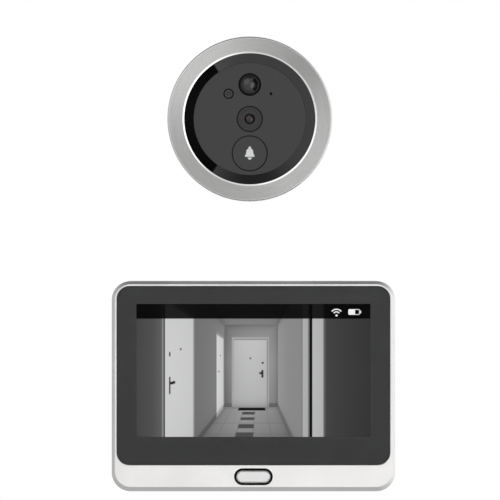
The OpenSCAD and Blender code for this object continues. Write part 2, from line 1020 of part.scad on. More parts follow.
module rear_housing() {
    color("#55585c")
        on_monitor()
            difference() {
                union() {
                    difference() {
                        at_height(rear_gap)
                            linear_extrude(part_z - rear_gap)
                                rounded_rect(mon_w, mon_h, corner_r);
                        rim_sweep(mon_w, mon_h, corner_r)
                            translate([0, rear_gap])
                                fillet_cut(rear_edge_r);
                        at_height(rear_gap + wall)
                            linear_extrude(part_z)
                                rounded_rect(in_w, in_h, in_r);
                    }
                    housing_tongue();
                    translate([0, recess_y, rear_gap + wall - e])
                        linear_extrude(recess_in - rear_gap - wall + e)
                            rounded_rect(recess_w + 2 * recess_wall, recess_h + 2 * recess_wall, bracket_r);
                    at_case_screws()
                        at_height(rear_gap + wall - e)
                            cylinder(r = case_boss_r, h = part_z - rear_gap - wall + e);
                    at_main_bosses()
                        at_height(rear_gap + wall - e)
                            cylinder(r = main_boss_r, h = main_z - rear_gap - wall + e);
                    for (place = [-1, 1])
                        box_at(battery_x + place * (battery_w / 2 - rib_inset), stack_y, rear_gap + wall - e,
                            rib_t, rib_h, battery_z - rear_gap - wall + e);
                }
                housing_recess();
                housing_holes();
            }
}

// The tongue that centres the front frame, cut away at the frame's screw bosses
module housing_tongue() {
    difference() {
        at_height(part_z - tongue_h)
            linear_extrude(2 * tongue_h)
                difference() {
                    rounded_rect(tongue_w, tongue_d, tongue_r);
                    rounded_rect(tongue_w - 2 * tongue_t, tongue_d - 2 * tongue_t, tongue_r - tongue_t);
                }
        at_case_screws()
            at_height(part_z)
                cylinder(r = case_boss_r + slip, h = 2 * tongue_h);
    }
}

module housing_recess() {
    translate([0, recess_y, rear_gap - e])
        linear_extrude(recess_depth + e)
            rounded_rect(recess_w, recess_h, bracket_r);
    for (sx = [-1, 1], hook_y = hook_rows)
        box_at(sx * hook_x, hook_y + hang_gap - hook_slot_h / 2, recess_z - e,
            hook_w + 2 * hook_side, hook_slot_h, recess_floor_t + 2 * e);
    box_at(ribbon_x, ribbon_y, recess_z - e, ribbon_w + 2 * ribbon_open, ribbon_h + 2 * ribbon_open,
        recess_floor_t + 2 * e);
}

module housing_holes() {
    at_case_screws() {
        cylinder(d = screw_head_d + 0.3, h = case_head_z);
        cylinder(d = screw_core + 0.3, h = rim_z);
    }
    at_main_bosses()
        at_height(main_z - pilot_depth)
            cylinder(d = pilot_d, h = pilot_depth + e);
    translate([mon_w / 2, usb_y, main_z - usb_h / 2])
        rotate([90, 0, 90])
            linear_extrude(3 * wall, center = true)
                pill(usb_w + 2 * slip, usb_h + 2 * slip);
    box_at(mon_w / 2, card_y, main_z - card_h - slip, 3 * wall, card_w + 2 * slip, card_h + 2 * slip);
    translate([mon_w / 2 - 2 * wall, reset_y, reset_z])
        rotate([0, 90, 0])
            cylinder(r = reset_r + run, h = 4 * wall);
    for (i = [0 : grille_count - 1])
        translate([speaker_x + (i - (grille_count - 1) / 2) * grille_pitch, speaker_low, 0])
            linear_extrude(rear_gap + wall + e)
                rotate([0, 0, 90])
                    pill(grille_h, grille_w);
}

module main_board() {
    color("#1e5a3a")
        on_monitor()
            difference() {
                box_at(main_x, stack_y, main_z, main_w, main_h, board_t);
                at_main_bosses()
                    cylinder(d = screw_core + 0.2, h = rim_z);
            }
}

module main_chips() {
    color("#1a1a1a")
        on_monitor()
            for (place = [-1, 0, 1])
                box_at(main_x + place * chip_pitch, stack_y - main_h / 2 + chip_up, part_z, chip_side, chip_side, chip_t);
}

module shield_can() {
    color("#c3c5c8")
        on_monitor()
            box_at(main_x, stack_y + can_up, part_z, can_w, can_h, can_t);
}

module battery_pack() {
    color("#3f5f8a")
        on_monitor()
            translate([battery_x, stack_y, battery_z])
                linear_extrude(battery_t)
                    rounded_rect(battery_w, battery_h, 2);
}

module indoor_speaker() {
    color("#2b2b2b")
        on_monitor()
            translate([speaker_x, speaker_low, rear_gap + wall])
                difference() {
                    linear_extrude(speaker_t)
                        rounded_rect(speaker_w, speaker_d, 2);
                    at_height(-e)
                        linear_extrude(0.8)
                            pill(speaker_w - 4 * speaker_rim, speaker_d - 2 * speaker_rim);
                }
}

module indoor_mic() {
    color("#c9b26a")
        on_monitor()
            box_at(key_mic_x, view_y, key_top, 3.8, 3, mic_h);
}

module usb_socket() {
    color("#b9bcc0")
        on_monitor()
            translate([mon_w / 2 - usb_l - 0.2, usb_y, main_z - usb_h / 2])
                rotate([90, 0, 90])
                    difference() {
                        linear_extrude(usb_l)
                            pill(usb_w, usb_h);
                        at_height(0.8)
                            linear_extrude(usb_l)
                                difference() {
                                    pill(usb_w - 0.7, usb_h - 0.7);
                                    square([usb_w - 3, 0.7], center = true);
                                }
                    }
}

module card_socket() {
    color("#b9bcc0")
        on_monitor()
            difference() {
                box_at(mon_w / 2 - wall - card_l / 2, card_y, main_z - card_h, card_l, card_w, card_h);
                box_at(mon_w / 2 - wall, card_y, main_z - card_h + card_skin, 2 * card_l - 4,
                    card_w - 1, card_h - 2 * card_skin);
            }
}

module ribbon_socket() {
    color("#d8d4c4")
        on_monitor()
            difference() {
                box_at(ribbon_x, ribbon_y, recess_in + 0.2, ribbon_w, ribbon_h, main_z - recess_in - 0.2);
                box_at(ribbon_x, ribbon_y, recess_in, ribbon_w - 2, 1.2, 3);
            }
}

module wifi_antenna() {
    color("#c58a3c")
        on_monitor()
            box_at(battery_x, in_h / 2 - antenna_t / 2, rear_gap + wall, antenna_w, antenna_t, antenna_h);
}

module key_board() {
    color("#1e5a3a")
        on_monitor()
            difference() {
                box_at(0, view_y, key_z, key_w, key_h, board_t);
                at_key_bosses()
                    cylinder(d = pilot_d + 0.4, h = rim_z);
            }
}

module board_screws() {
    color("#8d9094")
        on_monitor() {
            at_main_bosses()
                at_height(part_z + board_head_h)
                    rotate([180, 0, 0])
                        screw(board_head_d, board_head_h, pilot_d, board_t + board_bite);
            at_key_bosses()
                at_height(key_z - board_head_h)
                    screw(board_head_d, board_head_h, pilot_d, board_t + key_bite);
        }
}

module case_screws() {
    color("#8d9094")
        on_monitor()
            at_case_screws()
                at_height(case_head_z - screw_head_h)
                    screw(screw_head_d, screw_head_h, screw_core, part_z + screw_bite - case_head_z - slip);
}

module view_surround() {
    color("#101010")
        on_monitor()
            translate([0, view_y, 0])
                difference() {
                    union() {
                        at_height(ceiling_z - surround_lip_t)
                            linear_extrude(rim_z - 0.05 - ceiling_z + surround_lip_t)
                                pill(pill_w + 2 * surround_w, pill_h + 2 * surround_w);
                        at_height(ceiling_z - surround_lip_t)
                            linear_extrude(surround_lip_t)
                                pill(pill_w + 2 * surround_w + 2 * surround_lip, pill_h + 2 * surround_w);
                    }
                    linear_extrude(rim_z + 1)
                        pill(pill_w + 2 * pill_gap, pill_h + 2 * pill_gap);
                }
}

module view_button() {
    color("#dcdad8")
        on_monitor()
            translate([0, view_y, 0])
                difference() {
                    union() {
                        at_height(pill_lip_z)
                            linear_extrude(rim_z + pill_proud - pill_lip_z)
                                pill(pill_w, pill_h);
                        at_height(pill_lip_z)
                            linear_extrude(pill_lip_t)
                                pill(pill_w + 2 * pill_lip, pill_h + 2 * pill_lip);
                    }
                    rim_sweep(pill_w, pill_h, pill_h / 2)
                        translate([0, rim_z + pill_proud])
                            bevel_cut(pill_bevel, pill_bevel);
                }
}

module view_switch() {
    color("#1a1a1a")
        on_monitor()
            difference() {
                box_at(0, view_y, key_top, switch_side, switch_side, view_switch_h);
                post_at(0, view_y, key_top + 0.3, plunger_r + run, view_switch_h);
            }
}

module view_plunger() {
    color("#4a4a4a")
        on_monitor()
            post_at(0, view_y, view_plunger_z, plunger_r, pill_lip_z - view_plunger_z);
}

module reset_button() {
    color("#2a2a2c")
        on_monitor()
            translate([reset_lip_x, reset_y, reset_z])
                rotate([0, 90, 0]) {
                    cylinder(r = reset_r + run + reset_lip, h = reset_lip_t);
                    cylinder(r = reset_r, h = reset_out - reset_lip_x);
                }
}

module reset_switch() {
    color("#1a1a1a")
        on_monitor()
            difference() {
                box_at(reset_switch_x - reset_switch_l / 2, reset_y, main_z - reset_switch_h,
                    reset_switch_l, switch_side, reset_switch_h);
                translate([reset_switch_x - 1, reset_y, reset_z])
                    rotate([0, 90, 0])
                        cylinder(r = reset_plunger_r + run, h = 2);
            }
}

module reset_plunger() {
    color("#4a4a4a")
        on_monitor()
            translate([reset_switch_x - 0.3, reset_y, reset_z])
                rotate([0, 90, 0])
                    cylinder(r = reset_plunger_r, h = reset_lip_x - reset_switch_x + 0.3);
}

// The bracket stays on the door

module door_bracket() {
    color("#9a9da1")
        on_monitor() {
            difference() {
                translate([0, bracket_y, 0])
                    linear_extrude(bracket_t)
                        difference() {
                            rounded_rect(bracket_w, bracket_h, bracket_r);
                            for (sx = [-1, 1])
                                translate([sx * bolt_pitch / 2, 0])
                                    pill(slot_l, slot_w);
                        }
                translate([0, cable_y, -e])
                    linear_extrude(bracket_t + 2 * e)
                        pill(cable_w, cable_h);
                for (sx = [-1, 1], hook_y = hook_rows)
                    translate([sx * hook_x - hook_w / 2 - hook_side, hook_y - bracket_t - hook_cut, -e])
                        cube([hook_w + 2 * hook_side, hook_cut, bracket_t + 2 * e]);
            }
            for (sx = [-1, 1], hook_y = hook_rows)
                translate([sx * hook_x, hook_y, 0])
                    bracket_hook();
        }
}

// A tab bent out of the plate, then up behind the recess floor, drawn in its side view
module bracket_hook() {
    rotate([90, 0, 90])
        linear_extrude(hook_w, center = true) {
            translate([-bracket_t, 0])
                square([bracket_t, lip_top - hook_bend]);
            translate([-bracket_t + hook_bend, lip_z])
                square([hook_lip + bracket_t - hook_bend, bracket_t]);
            translate([-bracket_t + hook_bend, lip_top - hook_bend])
                circle(hook_bend);
        }
}

door_ring();
dish_window();
face_cover();
seal_ring();
rear_shell();
door_gasket();
threaded_posts();
door_screws();
cable_gland();
door_board();
door_connector();
door_chips();
ir_leds();
door_speaker();
door_mic();
mic_gasket();
pir_lens();
pir_sensor();
light_window();
light_sensor();
lens_bezel();
lens_holder();
lens_barrel();
lens_glass();
image_sensor();
bell_switch();
bell_button();
bell_plunger();
front_frame();
cover_glass();
glass_gasket();
lcd_cell();
lcd_backlight();
rear_housing();
main_board();
main_chips();
shield_can();
battery_pack();
indoor_speaker();
indoor_mic();
usb_socket();
card_socket();
ribbon_socket();
wifi_antenna();
key_board();
board_screws();
case_screws();
view_surround();
view_button();
view_switch();
view_plunger();
reset_button();
reset_switch();
reset_plunger();
door_bracket();
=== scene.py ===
# Peephole door camera: finishes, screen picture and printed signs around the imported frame
import json
import math
import bpy
import numpy as np
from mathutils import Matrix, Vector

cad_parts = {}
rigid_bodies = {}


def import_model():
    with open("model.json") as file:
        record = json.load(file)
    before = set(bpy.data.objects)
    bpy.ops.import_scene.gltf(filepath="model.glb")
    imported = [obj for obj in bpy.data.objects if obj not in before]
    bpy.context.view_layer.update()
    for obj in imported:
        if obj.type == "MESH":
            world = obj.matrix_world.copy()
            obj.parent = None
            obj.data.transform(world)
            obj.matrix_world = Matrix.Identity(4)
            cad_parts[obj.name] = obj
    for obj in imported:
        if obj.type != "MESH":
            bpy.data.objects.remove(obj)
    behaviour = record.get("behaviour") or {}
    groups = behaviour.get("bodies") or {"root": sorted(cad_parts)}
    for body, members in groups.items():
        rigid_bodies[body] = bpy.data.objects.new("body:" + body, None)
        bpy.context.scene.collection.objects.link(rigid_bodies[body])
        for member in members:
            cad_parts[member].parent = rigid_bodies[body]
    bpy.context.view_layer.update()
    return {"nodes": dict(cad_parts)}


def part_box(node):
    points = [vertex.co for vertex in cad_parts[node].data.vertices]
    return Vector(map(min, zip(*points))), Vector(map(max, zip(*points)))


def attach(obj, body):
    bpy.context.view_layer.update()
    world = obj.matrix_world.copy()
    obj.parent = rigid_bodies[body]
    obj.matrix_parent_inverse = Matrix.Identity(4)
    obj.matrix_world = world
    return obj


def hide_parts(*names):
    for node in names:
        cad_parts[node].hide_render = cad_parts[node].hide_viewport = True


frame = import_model()
nodes = frame["nodes"]
mm = 0.001
print("frame loaded:", len(nodes), "nodes")


# Node helpers

def calc(tree, operation, *values):
    node = tree.nodes.new("ShaderNodeMath")
    node.operation = operation
    for socket, value in zip(node.inputs, values):
        if isinstance(value, (int, float)):
            socket.default_value = value
        else:
            tree.links.new(value, socket)
    return node.outputs[0]


def remap(tree, value, fromLow, fromHigh, toLow, toHigh, kind="LINEAR"):
    node = tree.nodes.new("ShaderNodeMapRange")
    node.interpolation_type = kind
    tree.links.new(value, node.inputs["Value"])
    node.inputs["From Min"].default_value = fromLow
    node.inputs["From Max"].default_value = fromHigh
    node.inputs["To Min"].default_value = toLow
    node.inputs["To Max"].default_value = toHigh
    return node.outputs["Result"]


def weighted(tree, first, second, share):
    # this share of the first value, and the rest of the second
    firstPart = calc(tree, "MULTIPLY", first, share)
    return calc(tree, "ADD", firstPart, calc(tree, "MULTIPLY", second, 1.0 - share))


def lengthOf(tree, first, second):
    # of a flat vector with these two parts
    squares = [calc(tree, "MULTIPLY", part, part) for part in (first, second)]
    return calc(tree, "SQRT", calc(tree, "ADD", *squares))


def noise(tree, vector, scale, detail=2.0, roughness=0.5):
    node = tree.nodes.new("ShaderNodeTexNoise")
    tree.links.new(vector, node.inputs["Vector"])
    if isinstance(scale, (int, float)):
        node.inputs["Scale"].default_value = scale
    else:
        tree.links.new(scale, node.inputs["Scale"])
    node.inputs["Detail"].default_value = detail
    node.inputs["Roughness"].default_value = roughness
    return node.outputs["Fac"]


def blendColours(tree, factor, low, high):
    node = tree.nodes.new("ShaderNodeMix")
    node.data_type = "RGBA"
    lowSocket, highSocket = [s for s in node.inputs if s.type == "RGBA"]
    for socket, colour in ((lowSocket, low), (highSocket, high)):
        if isinstance(colour, tuple):
            socket.default_value = (*colour, 1)
        else:
            tree.links.new(colour, socket)
    tree.links.new(factor, node.inputs["Factor"])
    return next(s for s in node.outputs if s.type == "RGBA")


def newGroup(name, inputs, outputs):
    group = bpy.data.node_groups.new(name, "ShaderNodeTree")
    for label, kind in inputs:
        group.interface.new_socket(name=label, in_out="INPUT", socket_type=kind)
    for label in outputs:
        group.interface.new_socket(name=label, in_out="OUTPUT", socket_type="NodeSocketFloat")
    start = group.nodes.new("NodeGroupInput")
    end = group.nodes.new("NodeGroupOutput")
    return group, start.outputs, end.inputs


def useGroup(tree, group, vector, **values):
    node = tree.nodes.new("ShaderNodeGroup")
    node.node_tree = group
    tree.links.new(vector, node.inputs["Vector"])
    for label, value in values.items():
        node.inputs[label].default_value = value
    return node.outputs


def objectVector(tree):
    return tree.nodes.new("ShaderNodeTexCoord").outputs["Object"]


def bump(tree, shader, height, distance):
    node = tree.nodes.new("ShaderNodeBump")
    node.inputs["Distance"].default_value = distance
    tree.links.new(height, node.inputs["Height"])
    tree.links.new(node.outputs["Normal"], shader.inputs["Normal"])


def newMaterial(name, **fixed):
    material = bpy.data.materials.new(name)
    material.use_nodes = True
    tree = material.node_tree
    shader = tree.nodes["Principled BSDF"]
    for label, value in fixed.items():
        socket = shader.inputs[label]
        socket.default_value = (*value, 1) if isinstance(value, tuple) else value
    return material, tree, shader


# Shared effects

grainEffect = {
    "detail": 3.0,
    "roughness": 0.6,
    "slowScale": 55.0,      # slow changes of tone, about 20 mm across
    "toneRange": (0.3, 0.7),
}

turnedEffect = {
    "detail": 3.0,
    "roughness": 0.65,
    "alongLine": 2.5,       # noise cells for a radian round the axis
}


def makeGrain():
    # fine moulded texture with slow changes of tone
    group, given, result = newGroup(
        "mouldedGrain",
        [("Vector", "NodeSocketVector"), ("Fineness", "NodeSocketFloat")],
        ["Height", "Tone"])
    fine = noise(group, given["Vector"], given["Fineness"], grainEffect["detail"], grainEffect["roughness"])
    slow = noise(group, given["Vector"], grainEffect["slowScale"])
    tone = remap(group, weighted(group, fine, slow, 0.5), *grainEffect["toneRange"], 0.0, 1.0)
    group.links.new(fine, result["Height"])
    group.links.new(tone, result["Tone"])
    return group


def makeTurned():
    # lines that run round the Y axis, as a turned or brushed disc has
    group, given, result = newGroup(
        "turnedLines",
        [("Vector", "NodeSocketVector"), ("Lines", "NodeSocketFloat")],
        ["Line", "Radius", "Along"])
    parts = group.nodes.new("ShaderNodeSeparateXYZ")
    group.links.new(given["Vector"], parts.inputs[0])
    radius = lengthOf(group, parts.outputs["X"], parts.outputs["Z"])
    turn = calc(group, "ARCTAN2", parts.outputs["Z"], parts.outputs["X"])
    place = group.nodes.new("ShaderNodeCombineXYZ")
    group.links.new(calc(group, "MULTIPLY", radius, given["Lines"]), place.inputs["X"])
    group.links.new(calc(group, "MULTIPLY", turn, turnedEffect["alongLine"]), place.inputs["Y"])
    line = noise(group, place.outputs[0], 1.0, turnedEffect["detail"], turnedEffect["roughness"])
    group.links.new(line, result["Line"])
    group.links.new(radius, result["Radius"])
    group.links.new(parts.outputs["Y"], result["Along"])
    return group


mouldedGrain = makeGrain()
turnedLines = makeTurned()
print("shared effects made")


# Finishes made of a grain alone: low and high colour, low and high roughness, fineness and depth of the grain

grainFinishes = {
    "black_plastic": ((0.012, 0.012, 0.013), (0.020, 0.020, 0.021), 0.38, 0.5, 3200.0, 0.010 * mm),
    "rubber": ((0.012, 0.012, 0.012), (0.022, 0.022, 0.022), 0.65, 0.8, 1800.0, 0.02 * mm),
    "foam": ((0.018, 0.018, 0.018), (0.050, 0.050, 0.050), 0.85, 0.95, 1500.0, 0.12 * mm),
    "brass": ((0.66, 0.46, 0.19), (0.78, 0.58, 0.28), 0.2, 0.32, 2500.0, 0.006 * mm),
    "board": ((0.008, 0.07, 0.03), (0.016, 0.11, 0.05), 0.3, 0.45, 700.0, 0.01 * mm),
    "connector": ((0.70, 0.67, 0.58), (0.78, 0.75, 0.66), 0.4, 0.5, 2200.0, 0.006 * mm),
    "chip": ((0.012, 0.012, 0.012), (0.024, 0.024, 0.024), 0.5, 0.65, 5000.0, 0.008 * mm),
    "can": ((0.58, 0.59, 0.60), (0.66, 0.67, 0.68), 0.22, 0.34, 1600.0, 0.006 * mm),
    "mask": ((0.034, 0.034, 0.035), (0.039, 0.039, 0.040), 0.35, 0.45, 1200.0, 0.004 * mm),
    "screen": ((0.010, 0.010, 0.011), (0.014, 0.014, 0.015), 0.25, 0.35, 1200.0, 0.003 * mm),
    "housing": ((0.135, 0.14, 0.145), (0.18, 0.185, 0.19), 0.46, 0.6, 1900.0, 0.05 * mm),
    "battery": ((0.10, 0.17, 0.32), (0.14, 0.22, 0.38), 0.3, 0.42, 300.0, 0.03 * mm),
    "copper": ((0.62, 0.34, 0.15), (0.74, 0.46, 0.24), 0.3, 0.45, 1500.0, 0.006 * mm),
    "gloss_black": ((0.0012, 0.0012, 0.0014), (0.002, 0.002, 0.0022), 0.03, 0.06, 900.0, 0.0),
    "dome": ((0.006, 0.006, 0.007), (0.010, 0.010, 0.011), 0.05, 0.08, 1500.0, 0.0),
    "pearl": ((0.925, 0.918, 0.906), (0.975, 0.968, 0.956), 0.23, 0.29, 5200.0, 0.004 * mm),
    "bright_pill": ((0.87, 0.866, 0.86), (0.93, 0.926, 0.92), 0.28, 0.34, 3600.0, 0.004 * mm),
    "clear_glass": ((0.97, 0.975, 0.98), (1.0, 1.0, 1.0), 0.0, 0.012, 120.0, 0.0),
    "pale_print": ((0.78, 0.79, 0.80), (0.88, 0.89, 0.90), 0.4, 0.5, 4200.0, 0.006 * mm),
}

# what is the same all over some of them
fixedSockets = {
    "brass": {"Metallic": 1.0},
    "can": {"Metallic": 1.0},
    "copper": {"Metallic": 1.0},
    "gloss_black": {"Specular IOR Level": 0.8, "Coat Weight": 1.0, "Coat Roughness": 0.02},
    "dome": {"Coat Weight": 0.35, "Coat Roughness": 0.05},
    "pearl": {"Metallic": 0.9, "Coat Weight": 0.5, "Coat Roughness": 0.18},
    "bright_pill": {"Metallic": 0.5},
    "clear_glass": {"Transmission Weight": 1.0, "IOR": 1.22},  # low, as a coated glass that hardly reflects
}


def makeGrainy(name, low, high, smoothest, roughest, fineness, depth):
    material, tree, shader = newMaterial(name + "Finish", **fixedSockets.get(name, {}))
    grain = useGroup(tree, mouldedGrain, objectVector(tree), Fineness=fineness)
    tree.links.new(blendColours(tree, grain["Tone"], low, high), shader.inputs["Base Color"])
    tree.links.new(remap(tree, grain["Tone"], 0.0, 1.0, smoothest, roughest), shader.inputs["Roughness"])
    if depth:
        bump(tree, shader, grain["Height"], depth)
    return material


# Finishes of the door unit

ringFinish = {
    "metal": (0.40, 0.40, 0.397),
    "metalLight": (0.52, 0.52, 0.516),
    # painted highlight: the lighter colour of the polished inner edge
    "bright": (0.74, 0.74, 0.735),
    # painted highlight: the near-white colour along the outer edge
    "outerPaintedHighlight": (0.92, 0.92, 0.915),
    "lines": 5200.0,        # brushed lines per metre of radius, as noise cells
    "speckle": 2600.0,
    "lineShare": 0.55,      # brushed lines against speckle
    "toneRange": (0.35, 0.65),
    "roughRange": (0.3, 0.7),
    "roughness": (0.34, 0.27),
    "polish": 0.06,         # roughness of the polished edge, which the brushed part adds to
    "depth": 0.012 * mm,
    "polishedTo": 27.35 * mm,  # the polished inner edge, made lighter in colour as a painted highlight, lies inside this radius
    "outerFrom": 32.85 * mm,   # and the painted highlight on the outer edge lies outside this one,
    "outerFront": -14.0 * mm,  # in front of this plane
    "fade": 0.1 * mm,
}


def makeSatinMetal():
    material, tree, shader = newMaterial("satinMetal", Metallic=1.0)
    vector = objectVector(tree)
    turned = useGroup(tree, turnedLines, vector, Lines=ringFinish["lines"])
    grain = useGroup(tree, mouldedGrain, vector, Fineness=ringFinish["speckle"])
    brushed = weighted(tree, turned["Line"], grain["Height"], ringFinish["lineShare"])
    satin = blendColours(tree, remap(tree, brushed, *ringFinish["toneRange"], 0.0, 1.0),
                         ringFinish["metal"], ringFinish["metalLight"])
    fade = ringFinish["fade"]
    polishAndHighlight = remap(tree, turned["Radius"], ringFinish["polishedTo"] - fade, ringFinish["polishedTo"], 1.0, 0.0)
    outerHighlightMask = remap(tree, turned["Radius"], ringFinish["outerFrom"], ringFinish["outerFrom"] + fade, 0.0, 1.0)
    front = ringFinish["outerFront"]
    inFront = remap(tree, turned["Along"], front - fade, front, 1.0, 0.0)
    # painted highlight: a light colour along the outer edge, in front of a plane
    colour = blendColours(tree, calc(tree, "MULTIPLY", outerHighlightMask, inFront), satin, ringFinish["outerPaintedHighlight"])
    # polished inner edge: lower roughness, and a lighter colour that is a painted highlight
    tree.links.new(blendColours(tree, polishAndHighlight, colour, ringFinish["bright"]), shader.inputs["Base Color"])
    unpolished = calc(tree, "SUBTRACT", 1.0, polishAndHighlight)
    brushedRough = remap(tree, brushed, *ringFinish["roughRange"], *ringFinish["roughness"])
    rough = calc(tree, "ADD", calc(tree, "MULTIPLY", brushedRough, unpolished), ringFinish["polish"])
    tree.links.new(rough, shader.inputs["Roughness"])
    bump(tree, shader, calc(tree, "MULTIPLY", brushed, unpolished), ringFinish["depth"])
    return material


faceFinish = {
    "low": (0.025, 0.025, 0.026),
    "high": (0.033, 0.033, 0.034),
    "fineness": 4200.0,
    "depth": 0.012 * mm,
    "roughness": (0.42, 0.5),
    "seamShadeAndEye": (0.002, 0.002, 0.002),
    "seamShadeRadius": 1.9 * mm,   # painted shade in the joint round the light sensor's window
    "seamShadeHalf": 0.17 * mm,
    "seamShadeFade": 0.08 * mm,
    "eye": 0.62 * mm,         # the sensor's ring, faintly seen through the window
    "eyeStrength": 0.45,
    "eyeHalf": 0.1 * mm,
    "eyeFade": 0.1 * mm,
}


def ringMask(tree, radius, at, half, fade, strength):
    away = calc(tree, "ABSOLUTE", calc(tree, "SUBTRACT", radius, at))
    return remap(tree, away, half, half + fade, strength, 0.0)


def windowShadeAndEye(tree, vector):
    # painted shade along the joint round the window, with the sensor's ring seen through it
    low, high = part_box("light_window")
    split = tree.nodes.new("ShaderNodeSeparateXYZ")
    tree.links.new(vector, split.inputs[0])
    across = calc(tree, "SUBTRACT", split.outputs["X"], (low.x + high.x) / 2)
    up = calc(tree, "SUBTRACT", split.outputs["Z"], (low.z + high.z) / 2)
    radius = lengthOf(tree, across, up)
    seamShadeAndEye = ringMask(tree, radius, faceFinish["seamShadeRadius"], faceFinish["seamShadeHalf"],
                    faceFinish["seamShadeFade"], 1.0)
    eye = ringMask(tree, radius, faceFinish["eye"], faceFinish["eyeHalf"], faceFinish["eyeFade"],
                   faceFinish["eyeStrength"])
    return calc(tree, "MAXIMUM", seamShadeAndEye, eye)


def makeDarkFace():
    material, tree, shader = newMaterial("darkFace")
    vector = objectVector(tree)
    grain = useGroup(tree, mouldedGrain, vector, Fineness=faceFinish["fineness"])
    seamShadeAndEye = windowShadeAndEye(tree, vector)
    face = blendColours(tree, grain["Tone"], faceFinish["low"], faceFinish["high"])
    tree.links.new(blendColours(tree, seamShadeAndEye, face, faceFinish["seamShadeAndEye"]), shader.inputs["Base Color"])
    tree.links.new(seamShadeAndEye, shader.inputs["Metallic"])  # painted shade: black metal, a gap that reflects nothing; the sensor's ring takes part of it
    tree.links.new(remap(tree, grain["Tone"], 0.0, 1.0, *faceFinish["roughness"]), shader.inputs["Roughness"])
    bump(tree, shader, grain["Height"], faceFinish["depth"])
    return material


lensFinish = {
    "middle": (0.022, 0.008, 0.015),
    "rim": (0.002, 0.002, 0.003),
    "radius": 2.2 * mm,
    "lines": 900.0,
    "lineRange": (0.3, 0.7),
    "roughness": (0.02, 0.04),
    "fixed": {
        "Specular IOR Level": 0.3,
        "Coat Weight": 0.4,
        "Coat Roughness": 0.01,
        "Coat Tint": (0.95, 0.72, 0.85),
    },
}


def makeLens():
    # coated camera lens: dark violet with a bright surface
    material, tree, shader = newMaterial("coatedLens", **lensFinish["fixed"])
    turned = useGroup(tree, turnedLines, objectVector(tree), Lines=lensFinish["lines"])
    outward = remap(tree, turned["Radius"], 0.0, lensFinish["radius"], 0.0, 1.0)
    colour = blendColours(tree, outward, lensFinish["middle"], lensFinish["rim"])
    tree.links.new(colour, shader.inputs["Base Color"])
    rough = remap(tree, turned["Line"], *lensFinish["lineRange"], *lensFinish["roughness"])
    tree.links.new(rough, shader.inputs["Roughness"])
    return material


# Zinc-plated steel of the bracket and the screws

steelFinish = {
    "low": (0.44, 0.45, 0.465),
    "high": (0.64, 0.65, 0.66),
    "spangles": 230.0,      # zinc crystals, about 4 mm across
    "spangleShare": 0.6,
    "grain": 2400.0,
    "depth": 0.008 * mm,
    "roughness": (0.42, 0.28),
}


def makeSteel():
    material, tree, shader = newMaterial("zincSteel", Metallic=1.0)
    vector = objectVector(tree)
    crystals = tree.nodes.new("ShaderNodeTexVoronoi")
    crystals.inputs["Scale"].default_value = steelFinish["spangles"]
    tree.links.new(vector, crystals.inputs["Vector"])
    split = tree.nodes.new("ShaderNodeSeparateColor")
    tree.links.new(crystals.outputs["Color"], split.inputs["Color"])
    grain = useGroup(tree, mouldedGrain, vector, Fineness=steelFinish["grain"])
    tone = weighted(tree, split.outputs["Red"], grain["Tone"], steelFinish["spangleShare"])
    colour = blendColours(tree, tone, steelFinish["low"], steelFinish["high"])
    tree.links.new(colour, shader.inputs["Base Color"])
    tree.links.new(remap(tree, tone, 0.0, 1.0, *steelFinish["roughness"]), shader.inputs["Roughness"])
    bump(tree, shader, grain["Height"], steelFinish["depth"])
    return material


finishes = {name: makeGrainy(name, *values) for name, values in grainFinishes.items()}
finishes["steel"] = makeSteel()
finishes["satin_metal"] = makeSatinMetal()
finishes["dark_face"] = makeDarkFace()
finishes["lens"] = makeLens()

polished = {"view_surround": "gloss_black"}  # moulded in the same plastic, with a shine

for name, node in nodes.items():
    for holder in node.material_slots:
        finish = polished.get(name, holder.material.name.split(".")[0])
        holder.material = finishes[finish]
print("finishes made:", len(finishes))


# Modelling helpers

def deselect():
    if bpy.context.mode != "OBJECT":
        bpy.ops.object.mode_set(mode="OBJECT")
    bpy.ops.object.select_all(action="DESELECT")


def activate(piece):
    deselect()
    piece.select_set(True)
    bpy.context.view_layer.objects.active = piece


def freeze(piece):
    activate(piece)
    bpy.ops.object.transform_apply(location=True, rotation=True, scale=True)


def named(name):
    piece = bpy.context.active_object
    piece.name = name
    piece.data.name = name
    return piece


def finishPiece(piece, material, body):
    freeze(piece)
    piece.data.materials.clear()
    piece.data.materials.append(material)
    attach(piece, body)


def joinAll(pieces, name):
    deselect()
    for piece in pieces:
        piece.select_set(True)
    bpy.context.view_layer.objects.active = pieces[0]
    bpy.ops.object.join()
    return named(name)


def screenPoint(right, up, lift):
    # a point in front of the panel, from the middle of the monitor
    low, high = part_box("front_frame")
    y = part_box("lcd_cell")[0].y - lift
    return ((low.x + high.x) / 2 + right, y, (low.z + high.z) / 2 + up)


def thicken(piece, depth):
    # extrudes a flat piece that faces the viewer towards -Y
    activate(piece)
    bpy.ops.object.mode_set(mode="EDIT")
    bpy.ops.mesh.select_all(action="SELECT")
    bpy.ops.mesh.extrude_region_move(TRANSFORM_OT_translate={"value": (0, -depth, 0)})
    bpy.ops.mesh.select_all(action="SELECT")
    bpy.ops.mesh.normals_make_consistent(inside=False)
    bpy.ops.object.mode_set(mode="OBJECT")


facingViewer = (math.pi / 2, 0, 0)  # turns a flat primitive's face from +Z to -Y

# Lit picture on the screen: a plain hallway worked out by casting a ray for each point of a grid

